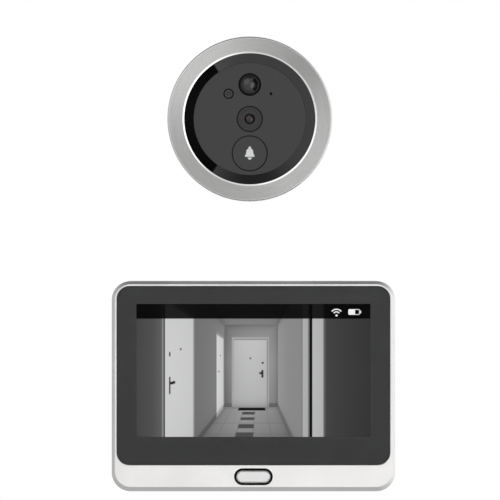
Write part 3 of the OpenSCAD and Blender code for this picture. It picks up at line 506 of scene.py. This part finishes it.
picture = {
    "columns": 340,
    "rows": 194,
    "active": (95.0 * mm, 53.9 * mm),
    "lift": 0.03 * mm,       # above the panel's front
    "centreUp": 6.4 * mm,    # picture centre above the middle of the monitor
    "spread": 0.6,           # half width of the view at one metre
    "vanishing": (0.04, 0.07),  # where the hallway runs to, in half widths from the centre
    "barShare": 0.113,       # share of the height under the status bar
    "barShade": 0.02,        # what the bar lets through of the picture,
    "barGrey": 0.001,        # and its own grey
    "fixed": {
        "Base Color": (0.001, 0.001, 0.001),
        "Specular IOR Level": 0.0,
        "Roughness": 0.6,
        "Emission Strength": 1.0,
    },
}

hallway = {
    "left": -1.03,
    "right": 0.6,
    "floor": -1.38,
    "ceiling": 1.14,
    "depth": 6.0,
    "doorTop": 0.69,
    "casing": 0.07,             # width of the frame round a door
    "skirting": 0.12,
    "skirtingShade": 0.7,
    "fittings": 0.03,           # grey of handles, locks and spyholes
    "corner": (0.35, 0.12),     # how much darker the corners are, and how far from them
    "vignette": 0.12,
}

# greys against the distance from the viewer
hallwayGreys = {
    "leftWall": (
        (1.6, 0.070), (1.9, 0.090), (2.05, 0.12), (2.15, 0.19), (3.2, 0.18), (4.6, 0.21), (6.0, 0.26),
    ),
    "rightWall": (
        (1.0, 0.042), (1.72, 0.062), (1.78, 0.16), (2.6, 0.16), (2.7, 0.26), (4.0, 0.27), (6.0, 0.32),
    ),
    "ceiling": ((1.5, 0.10), (3.5, 0.16), (6.0, 0.24)),
    "floor": ((3.0, 0.16), (4.2, 0.24), (6.0, 0.29)),
}

sideDoor = {
    "places": ((2.16, 3.08), (4.88, 5.8)),   # near and far edge of each door
    "level": 0.68,
    "casingShade": 0.45,
    "farShade": 0.9,
    "gap": 0.03,
    "gapShade": 0.06,
    "fittings": (                            # from the near edge, and up
        ((0.10, 0.14), (-0.37, -0.17)),      # plate
        ((0.10, 0.27), (-0.265, -0.23)),     # lever
        ((0.10, 0.13), (0.07, 0.12)),        # lock
        ((0.42, 0.455), (0.16, 0.19)),       # spyhole
    ),
}

endDoor = {
    "left": -0.74,
    "right": 0.27,
    "wall": 0.27,
    "wallGlow": (0.1, 0.06, 1.6),            # middle, strength and narrowness
    "wallFade": 0.05,
    "skirting": 0.16,
    "casing": 0.40,
    "gap": 0.015,
    "gapGrey": 0.2,
    "leaf": 0.45,
    "leafGlow": (-0.2, 0.07, 2.2),
    "leafFade": 0.04,
    "fittings": (                            # across and up
        ((0.11, 0.17), (-0.48, -0.24)),      # plate
        ((0.03, 0.17), (-0.36, -0.31)),      # lever
    ),
    "rounds": ((-0.24, 0.12, 0.03), (0.14, -0.02, 0.034641)),   # spyhole and lock: across, up and radius
}

tiles = {
    "size": 0.34,
    "jointFrom": 0.475,                      # in tiles from the middle of one
    "jointShade": 0.8,
    "glow": (-0.3, 0.22, 0.35),              # middle, strength and width of the shine along the floor
    "inlayAt": (3.7, 4.23, 4.77, 5.3),       # dark tiles let into the floor
    "inlayMiddle": -0.26,
    "inlayHalf": 0.14,
    "inlayGrey": 0.078,
    "matAlong": (5.58, 5.95),
    "matAcross": (-0.58, 0.21),
    "matGrey": 0.006,
}

openDoor = {
    # at the right: frame, gap and leaf seen edge on, with their greys
    "bands": (((2.34, 2.62), 0.46), ((2.16, 2.29), 0.004), ((1.79, 2.16), 0.52)),
    "nearShade": 0.92,
    "wallFrom": 2.62,
}


def between(value, low, high):
    return (value >= low) & (value <= high)


def greyAt(key, z):
    distances, greys = zip(*hallwayGreys[key])
    return np.interp(z, distances, greys)


def glowAt(x, middle, strength, narrowness):
    return strength * np.cos(narrowness * (x - middle))


def paintFittings(grey, across, up, fittings):
    for acrossRange, upRange in fittings:
        grey = np.where(between(across, *acrossRange) & between(up, *upRange), hallway["fittings"], grey)
    return grey


def sideDoors(grey, z, y):
    level = sideDoor["level"]
    for near, far in sideDoor["places"]:
        casing = between(z, near - hallway["casing"], far + hallway["casing"])
        casing = casing & (y < hallway["doorTop"] + hallway["casing"])
        grey = np.where(casing, level * sideDoor["casingShade"], grey)
        below = y < hallway["doorTop"]
        shade = np.interp(z, (near, far), (1.0, sideDoor["farShade"]))
        grey = np.where(between(z, near, far) & below, level * shade, grey)
        grey = np.where(between(z, near - sideDoor["gap"], near) & below, level * sideDoor["gapShade"], grey)
        grey = paintFittings(grey, z - near, y, sideDoor["fittings"])
    return grey


def doorArea(x, y, margin):
    inWidth = between(x, endDoor["left"] - margin, endDoor["right"] + margin)
    return inWidth & (y < hallway["doorTop"] + margin)


def endWall(x, y):
    grey = endDoor["wall"] + glowAt(x, *endDoor["wallGlow"]) - endDoor["wallFade"] * np.abs(y)
    grey = np.where(y < hallway["floor"] + hallway["skirting"], endDoor["skirting"], grey)
    grey = np.where(doorArea(x, y, hallway["casing"]), endDoor["casing"], grey)
    grey = np.where(doorArea(x, y, endDoor["gap"]), endDoor["gapGrey"], grey)
    leaf = endDoor["leaf"] + glowAt(x, *endDoor["leafGlow"]) + endDoor["leafFade"] * y
    grey = np.where(doorArea(x, y, 0.0), leaf, grey)
    for across, up, radius in endDoor["rounds"]:
        grey = np.where((x - across) ** 2 + (y - up) ** 2 < radius ** 2, hallway["fittings"], grey)
    return paintFittings(grey, x, y, endDoor["fittings"])


def tiledFloor(x, z):
    size = tiles["size"]
    fromInlay = x - tiles["inlayMiddle"]
    across = np.abs((fromInlay / size + 0.5) % 1.0 - 0.5)
    along = np.abs((z / size) % 1.0 - 0.5)
    middle, strength, width = tiles["glow"]
    grey = greyAt("floor", z) * (1.0 + strength * np.exp(-((x - middle) / width) ** 2))
    joint = (across > tiles["jointFrom"]) | (along > tiles["jointFrom"])
    grey = np.where(joint, grey * tiles["jointShade"], grey)
    for place in tiles["inlayAt"]:
        inlay = (np.abs(fromInlay) < size / 2) & (np.abs(z - place) < tiles["inlayHalf"])
        grey = np.where(inlay, tiles["inlayGrey"], grey)
    mat = between(z, *tiles["matAlong"]) & between(x, *tiles["matAcross"])
    return np.where(mat, tiles["matGrey"], grey)


def openDoorway(grey, z):
    for (near, far), level in openDoor["bands"]:
        shade = np.interp(z, (near, far), (openDoor["nearShade"], 1.0))
        grey = np.where(between(z, near, far), level * shade, grey)
    return grey


def hallwayGrey(across, up):
    # across and up run over the picture, in half widths from its centre
    dx = (across - picture["vanishing"][0]) * picture["spread"]
    dy = (up - picture["vanishing"][1]) * picture["spread"]
    with np.errstate(divide="ignore", invalid="ignore"):
        toSide = np.where(dx < 0, hallway["left"] / dx, hallway["right"] / dx)
        toLevel = np.where(dy < 0, hallway["floor"] / dy, hallway["ceiling"] / dy)
    z = np.minimum(np.minimum(toSide, toLevel), hallway["depth"])
    x = dx * z
    y = dy * z
    leftWall = sideDoors(greyAt("leftWall", z), z, y)
    rightWall = openDoorway(greyAt("rightWall", z), z)
    sides = np.where(dx < 0, leftWall, rightWall)
    skirting = (y < hallway["floor"] + hallway["skirting"]) & (z > openDoor["wallFrom"])
    sides = np.where(skirting, sides * hallway["skirtingShade"], sides)
    levels = np.where(dy < 0, tiledFloor(x, z), greyAt("ceiling", z))
    grey = np.where(toSide <= toLevel, sides, levels)
    grey = np.where(z >= hallway["depth"], endWall(x, y), grey)
    toWalls = np.stack([np.abs(x - hallway["left"]), np.abs(hallway["right"] - x),
                        np.abs(y - hallway["floor"]), np.abs(hallway["ceiling"] - y),
                        np.abs(hallway["depth"] - z)])
    secondNearest = np.sort(toWalls, axis=0)[1]
    darker, reach = hallway["corner"]
    grey = grey * (1.0 - darker * np.exp(-secondNearest / reach))
    vignette = 1.0 - hallway["vignette"] * (across ** 2 + up ** 2)
    return np.clip(grey * vignette, 0.0, 1.0)


def makePictureMaterial():
    material, tree, shader = newMaterial("litPicture", **picture["fixed"])
    grey = tree.nodes.new("ShaderNodeAttribute")
    grey.attribute_name = "pictureGrey"
    tree.links.new(grey.outputs["Color"], shader.inputs["Emission Color"])
    return material


def makePicture():
    width, height = picture["active"]
    centre = screenPoint(0.0, picture["centreUp"], picture["lift"])
    deselect()
    bpy.ops.mesh.primitive_grid_add(x_subdivisions=picture["columns"], y_subdivisions=picture["rows"],
                                    size=1, location=centre, rotation=facingViewer)
    piece = named("screen_picture")
    piece.scale = (width, height, 1)
    freeze(piece)
    count = len(piece.data.vertices)
    places = np.empty(count * 3, np.float32)
    piece.data.vertices.foreach_get("co", places)
    places = places.reshape(-1, 3)
    across = (places[:, 0] - centre[0]) / (width / 2)
    up = (places[:, 2] - centre[2]) / (width / 2)
    grey = hallwayGrey(across, up)
    barFrom = height / width * (1 - 2 * picture["barShare"])
    grey = np.where(up > barFrom, grey * picture["barShade"] + picture["barGrey"], grey)
    colours = np.ones((count, 4), np.float32)
    colours[:, :3] = grey[:, None]
    layer = piece.data.color_attributes.new("pictureGrey", "FLOAT_COLOR", "POINT")
    layer.data.foreach_set("color", colours.ravel())
    finishPiece(piece, makePictureMaterial(), "monitor")


makePicture()
print("screen picture made")

# Printed border behind the glass: the gasket's shape, its front set back so that the glass lies clear of it

border = {
    "setBack": 0.02 * mm,
    "weld": 0.001 * mm,
}


def makeBorder():
    activate(nodes["glass_gasket"])
    bpy.ops.object.duplicate()
    piece = named("glass_border")
    bpy.ops.object.mode_set(mode="EDIT")
    bpy.ops.mesh.select_all(action="SELECT")
    bpy.ops.mesh.remove_doubles(threshold=border["weld"])
    bpy.ops.object.mode_set(mode="OBJECT")
    front = min(vertex.co.y for vertex in piece.data.vertices) + border["setBack"]
    for vertex in piece.data.vertices:
        vertex.co.y = max(vertex.co.y, front)
    finishPiece(piece, finishes["mask"], "monitor")
    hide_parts("glass_gasket")


makeBorder()
print("glass border made")


# Status signs at the top right of the screen

signs = {
    "lift": 0.06 * mm,          # above the panel's front, in front of the picture
    "depth": 0.03 * mm,
    "wirelessAt": (33.7 * mm, 28.7 * mm),   # from the middle of the monitor, right and up
    "wirelessRings": (1.45 * mm, 2.5 * mm),
    "stroke": 0.46 * mm,
    "dot": 0.46 * mm,
    "startTurn": math.radians(40),
    "arcSteps": 20,
    "batteryAt": (40.8 * mm, 30.1 * mm),
    "battery": (4.6 * mm, 2.3 * mm),
    "batteryWall": 0.26 * mm,
    "charge": 0.58,
    "fillGap": 0.6,             # in walls of the case, from its outside to the charge
    "caseCorner": 0.45 * mm,
    "fillCorner": 0.35 * mm,
    "nub": (0.4 * mm, 1.2 * mm),
    "nubOut": 0.35 * mm,        # its middle, from the end of the case
    "nubCorner": 0.12 * mm,
    "cornerSteps": 6,
    "low": (0.90, 0.90, 0.90),
    "high": (1.0, 1.0, 1.0),
    "clouds": 300.0,
    "fixed": {"Base Color": (0.02, 0.02, 0.02), "Roughness": 0.4, "Emission Strength": 0.92},
}


def makeSignMaterial():
    material, tree, shader = newMaterial("litSign", **signs["fixed"])
    slow = noise(tree, objectVector(tree), signs["clouds"])
    colour = blendColours(tree, slow, signs["low"], signs["high"])
    tree.links.new(colour, shader.inputs["Emission Color"])
    return material


def arcStroke(centre, radius):
    # a flat stroke spun about the sign's foot, first to its start and then to its end
    deselect()
    bpy.ops.mesh.primitive_plane_add(size=1, location=(centre[0] + radius, centre[1], centre[2]))
    stroke = bpy.context.active_object
    stroke.scale = (signs["stroke"], signs["depth"], 1)
    freeze(stroke)
    bpy.ops.object.mode_set(mode="EDIT")
    bpy.ops.mesh.select_all(action="SELECT")
    bpy.ops.mesh.spin(steps=2, angle=signs["startTurn"], center=centre, axis=(0, 1, 0))
    bpy.ops.mesh.select_all(action="INVERT")
    bpy.ops.mesh.delete(type="VERT")
    bpy.ops.mesh.select_all(action="SELECT")
    arcTurn = math.pi - 2 * signs["startTurn"]
    bpy.ops.mesh.spin(steps=signs["arcSteps"], angle=arcTurn, center=centre, axis=(0, 1, 0))
    bpy.ops.mesh.select_all(action="SELECT")
    bpy.ops.mesh.normals_make_consistent(inside=False)
    bpy.ops.object.mode_set(mode="OBJECT")
    return stroke


def makeWirelessSign():
    centre = screenPoint(*signs["wirelessAt"], signs["lift"])
    parts = [arcStroke(centre, radius) for radius in signs["wirelessRings"]]
    deselect()
    bpy.ops.mesh.primitive_cylinder_add(vertices=32, radius=signs["dot"], depth=signs["depth"],
                                        location=centre, rotation=facingViewer)
    dot = bpy.context.active_object
    freeze(dot)
    return joinAll(parts + [dot], "wireless_sign")


def flatPlate(right, up, width, height, corner):
    centre = screenPoint(right, up, signs["lift"])
    deselect()
    bpy.ops.mesh.primitive_plane_add(size=1, location=centre, rotation=facingViewer)
    plate = bpy.context.active_object
    plate.scale = (width, height, 1)
    freeze(plate)
    bpy.ops.object.mode_set(mode="EDIT")
    bpy.ops.mesh.select_all(action="SELECT")
    bpy.ops.mesh.bevel(offset=corner, offset_type="OFFSET", segments=signs["cornerSteps"], affect="VERTICES")
    bpy.ops.object.mode_set(mode="OBJECT")
    return plate


def makeBatterySign():
    width, height = signs["battery"]
    wall = signs["batteryWall"]
    right, up = signs["batteryAt"]
    case = flatPlate(right, up, width, height, signs["caseCorner"])
    activate(case)
    bpy.ops.object.mode_set(mode="EDIT")
    bpy.ops.mesh.select_all(action="SELECT")
    bpy.ops.mesh.inset(thickness=wall, depth=0)
    bpy.ops.mesh.delete(type="FACE")
    bpy.ops.object.mode_set(mode="OBJECT")
    fillWidth = (width - 4 * wall) * signs["charge"] + 2 * wall
    fillGap = signs["fillGap"] * wall
    fillRight = right - width / 2 + fillGap + fillWidth / 2
    fill = flatPlate(fillRight, up, fillWidth, height - 2 * fillGap, signs["fillCorner"])
    nub = flatPlate(right + width / 2 + signs["nubOut"], up, *signs["nub"], signs["nubCorner"])
    sign = joinAll([case, fill, nub], "battery_sign")
    thicken(sign, signs["depth"])
    return sign


litSign = makeSignMaterial()
for sign in (makeWirelessSign(), makeBatterySign()):
    finishPiece(sign, litSign, "monitor")
print("status signs made")

# Bell sign on the call button

bell = {
    "height": 4.2 * mm,       # of the body with its knob
    "width": 4.0 * mm,
    "foot": 1.42 * mm,        # below the middle of the button
    "rows": 80,
    "clapper": 0.85 * mm,
    "clapperGap": 0.26 * mm,
    "print": 0.04 * mm,
}

# half width of the bell's body, as a share of its foot, against the height from foot to knob
bellShape = (
    (0.0, 0.90), (0.03, 0.97), (0.09, 1.0), (0.15, 0.94), (0.20, 0.84), (0.34, 0.745),
    (0.53, 0.69), (0.64, 0.64), (0.71, 0.55), (0.76, 0.42), (0.785, 0.26), (0.93, 0.24),
    (0.98, 0.20), (1.0, 0.12),
)


def makeBellBody(centre):
    deselect()
    middle = (centre[0], centre[1], centre[2] - bell["foot"] + bell["height"] / 2)
    bpy.ops.mesh.primitive_grid_add(x_subdivisions=1, y_subdivisions=bell["rows"], size=1,
                                    location=middle, rotation=facingViewer)
    body = bpy.context.active_object
    body.scale = (bell["width"], bell["height"], 1)
    freeze(body)
    heights, widths = zip(*bellShape)
    for vertex in body.data.vertices:
        share = (vertex.co.z - middle[2]) / bell["height"] + 0.5
        side = 1 if vertex.co.x > centre[0] else -1
        vertex.co.x = centre[0] + side * np.interp(share, heights, widths) * bell["width"] / 2
    return body


def makeClapper(centre):
    # the lower half of a disc
    deselect()
    place = (centre[0], centre[1], centre[2] - bell["foot"] - bell["clapperGap"])
    bpy.ops.mesh.primitive_circle_add(vertices=48, radius=bell["clapper"], fill_type="NGON",
                                      location=place, rotation=facingViewer)
    clapper = bpy.context.active_object
    freeze(clapper)
    bpy.ops.object.mode_set(mode="EDIT")
    bpy.ops.mesh.select_all(action="SELECT")
    bpy.ops.mesh.bisect(plane_co=place, plane_no=(0, 0, 1), clear_outer=True)
    bpy.ops.object.mode_set(mode="OBJECT")
    return clapper


def makeBellSign():
    low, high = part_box("bell_button")
    centre = ((low.x + high.x) / 2, low.y, (low.z + high.z) / 2)
    sign = joinAll([makeBellBody(centre), makeClapper(centre)], "bell_sign")
    thicken(sign, bell["print"])
    return sign


finishPiece(makeBellSign(), finishes["pale_print"], "bell")
print("bell sign made")

# Studio: pale floor, a soft world that is bright in front and white behind, two large weak lamps, the camera

studio = {
    "floorAt": -0.2,
    "floorSize": 1.9,
    "floorLow": (0.86, 0.86, 0.86),
    "floorHigh": (0.89, 0.89, 0.89),
    "floorClouds": 6.0,
    "floorGlow": 0.4,       # what the floor adds for the camera alone, so that it stays pale
    "frontLevel": 0.84,
    "frontRange": (0.30, 0.70),     # how far a ray points to the front, from none of its level to all of it
    "backLevel": 1.0,
    "backRange": (0.25, 0.8),
    "rightLevel": 1.05,     # what the flanks see from each side
    "leftLevel": 0.44,
    "topLevel": 0.13,
    "bottomLevel": 0.42,
    "cardLevel": 0.03,      # a dark card at the right, which the dished window and the sensor's dome reflect
    "cardHalfTurn": math.radians(56),
    "cardTurnFade": 0.012,
    "cardFrom": 0.15,
    "cardTo": 0.75,
    "cardFade": 0.02,
    "cameraLevel": 0.05,    # dark round the camera, so that flat glass stays clear
    "cameraRange": (0.9965, 0.9989),
    "glows": (((-0.46, -0.76, 0.46), 0.32), ((0.56, -0.82, -0.14), 1.0)),   # towards, and how much brighter
    "glowRange": (0.76, 1.0),
    "lamps": (((-0.9, -1.5, 0.9), 1.8), ((1.1, -1.5, -0.3), 1.2)),   # place and power
    "lampSize": 1.75,
}

photoCamera = {
    "across": 0.203,        # metres that the picture takes in
    "distance": 2.5,
    "sensor": 36.0,
    "aim": (0.0001, -0.018, -0.0533),
}


def sideLevels(tree, toRight, toTop):
    level = 0.0
    for toSide, key in ((toRight, "rightLevel"), (calc(tree, "MULTIPLY", toRight, -1.0), "leftLevel"),
                        (toTop, "topLevel"), (calc(tree, "MULTIPLY", toTop, -1.0), "bottomLevel")):
        share = calc(tree, "POWER", calc(tree, "MAXIMUM", toSide, 0.0), 2.0)
        level = calc(tree, "ADD", calc(tree, "MULTIPLY", share, studio[key]), level)
    return level


def darkCard(tree, toRight, front):
    edge = math.cos(studio["cardHalfTurn"])
    turnFade = studio["cardTurnFade"]
    fade = studio["cardFade"]
    card = remap(tree, toRight, edge - turnFade, edge + turnFade, 0.0, 1.0)
    near = remap(tree, front, studio["cardFrom"] - fade, studio["cardFrom"], 0.0, 1.0)
    far = remap(tree, front, studio["cardTo"], studio["cardTo"] + fade, 1.0, 0.0)
    return calc(tree, "MULTIPLY", calc(tree, "MULTIPLY", card, near), far)


def makeWorld():
    world = bpy.data.worlds.new("studio")
    world.use_nodes = True
    bpy.context.scene.world = world
    tree = world.node_tree
    parts = tree.nodes.new("ShaderNodeSeparateXYZ")
    tree.links.new(tree.nodes.new("ShaderNodeTexCoord").outputs["Generated"], parts.inputs[0])
    x, y, z = parts.outputs["X"], parts.outputs["Y"], parts.outputs["Z"]
    front = calc(tree, "MULTIPLY", y, -1.0)
    radius = calc(tree, "MAXIMUM", lengthOf(tree, x, z), 0.001)  # never nought, since it divides
    toRight = calc(tree, "DIVIDE", x, radius)
    level = sideLevels(tree, toRight, calc(tree, "DIVIDE", z, radius))
    for facing, key in ((front, "front"), (y, "back")):
        share = remap(tree, facing, *studio[key + "Range"], 0.0, 1.0, "SMOOTHSTEP")
        kept = calc(tree, "MULTIPLY", level, calc(tree, "SUBTRACT", 1.0, share))
        level = calc(tree, "ADD", kept, calc(tree, "MULTIPLY", share, studio[key + "Level"]))
    for towards, strength in studio["glows"]:
        facing = 0.0
        for part, share in zip((x, y, z), towards):
            facing = calc(tree, "ADD", calc(tree, "MULTIPLY", part, share), facing)
        glow = remap(tree, facing, *studio["glowRange"], 0.0, strength, "SMOOTHSTEP")
        level = calc(tree, "ADD", level, glow)
    behindCamera = remap(tree, front, *studio["cameraRange"], 1.0, studio["cameraLevel"], "SMOOTHSTEP")
    covered = calc(tree, "MULTIPLY", darkCard(tree, toRight, front), 1.0 - studio["cardLevel"])
    uncovered = calc(tree, "SUBTRACT", 1.0, covered)
    level = calc(tree, "MULTIPLY", calc(tree, "MULTIPLY", level, behindCamera), uncovered)
    fromCamera = tree.nodes.new("ShaderNodeLightPath").outputs["Is Camera Ray"]
    lit = calc(tree, "MULTIPLY", level, calc(tree, "SUBTRACT", 1.0, fromCamera))
    shown = calc(tree, "ADD", lit, calc(tree, "MULTIPLY", fromCamera, studio["backLevel"]))
    tree.links.new(shown, tree.nodes["Background"].inputs["Strength"])
    tree.nodes["Background"].inputs["Color"].default_value = (1, 1, 1, 1)


def makeFloor():
    deselect()
    bpy.ops.mesh.primitive_circle_add(vertices=96, radius=studio["floorSize"] / 2, fill_type="NGON",
                                      location=(0, 0, studio["floorAt"]))
    floor = named("pale_floor")
    material, tree, shader = newMaterial("paleFloor", Roughness=0.7)
    slow = noise(tree, objectVector(tree), studio["floorClouds"])
    colour = blendColours(tree, slow, studio["floorLow"], studio["floorHigh"])
    tree.links.new(colour, shader.inputs["Base Color"])
    shader.inputs["Emission Color"].default_value = (1, 1, 1, 1)
    fromCamera = tree.nodes.new("ShaderNodeLightPath").outputs["Is Camera Ray"]
    glow = calc(tree, "MULTIPLY", fromCamera, studio["floorGlow"])
    tree.links.new(glow, shader.inputs["Emission Strength"])
    fromBelow = tree.nodes.new("ShaderNodeNewGeometry").outputs["Backfacing"]
    tree.links.new(calc(tree, "SUBTRACT", 1.0, fromBelow), shader.inputs["Alpha"])  # clear from underneath
    floor.data.materials.append(material)
    freeze(floor)
    floor.visible_glossy = False  # the glossy pieces show the studio round it


def makeLamps():
    for place, power in studio["lamps"]:
        deselect()
        bpy.ops.object.light_add(type="AREA", location=place)
        lamp = bpy.context.active_object
        lamp.data.shape = "DISK"
        lamp.data.size = studio["lampSize"]
        lamp.data.energy = power
        aim = bpy.data.objects["body:door_unit"].location - lamp.location
        lamp.rotation_euler = aim.to_track_quat("-Z", "Y").to_euler()


def makeCamera():
    deselect()
    x, y, z = photoCamera["aim"]
    bpy.ops.object.camera_add(location=(x, y - photoCamera["distance"], z), rotation=facingViewer)
    camera = bpy.context.active_object
    camera.data.sensor_width = photoCamera["sensor"]
    camera.data.lens = photoCamera["sensor"] * photoCamera["distance"] / photoCamera["across"]
    bpy.context.scene.camera = camera


makeWorld()
makeFloor()
makeLamps()
makeCamera()
bpy.context.scene.view_settings.view_transform = "Standard"
print("studio made")
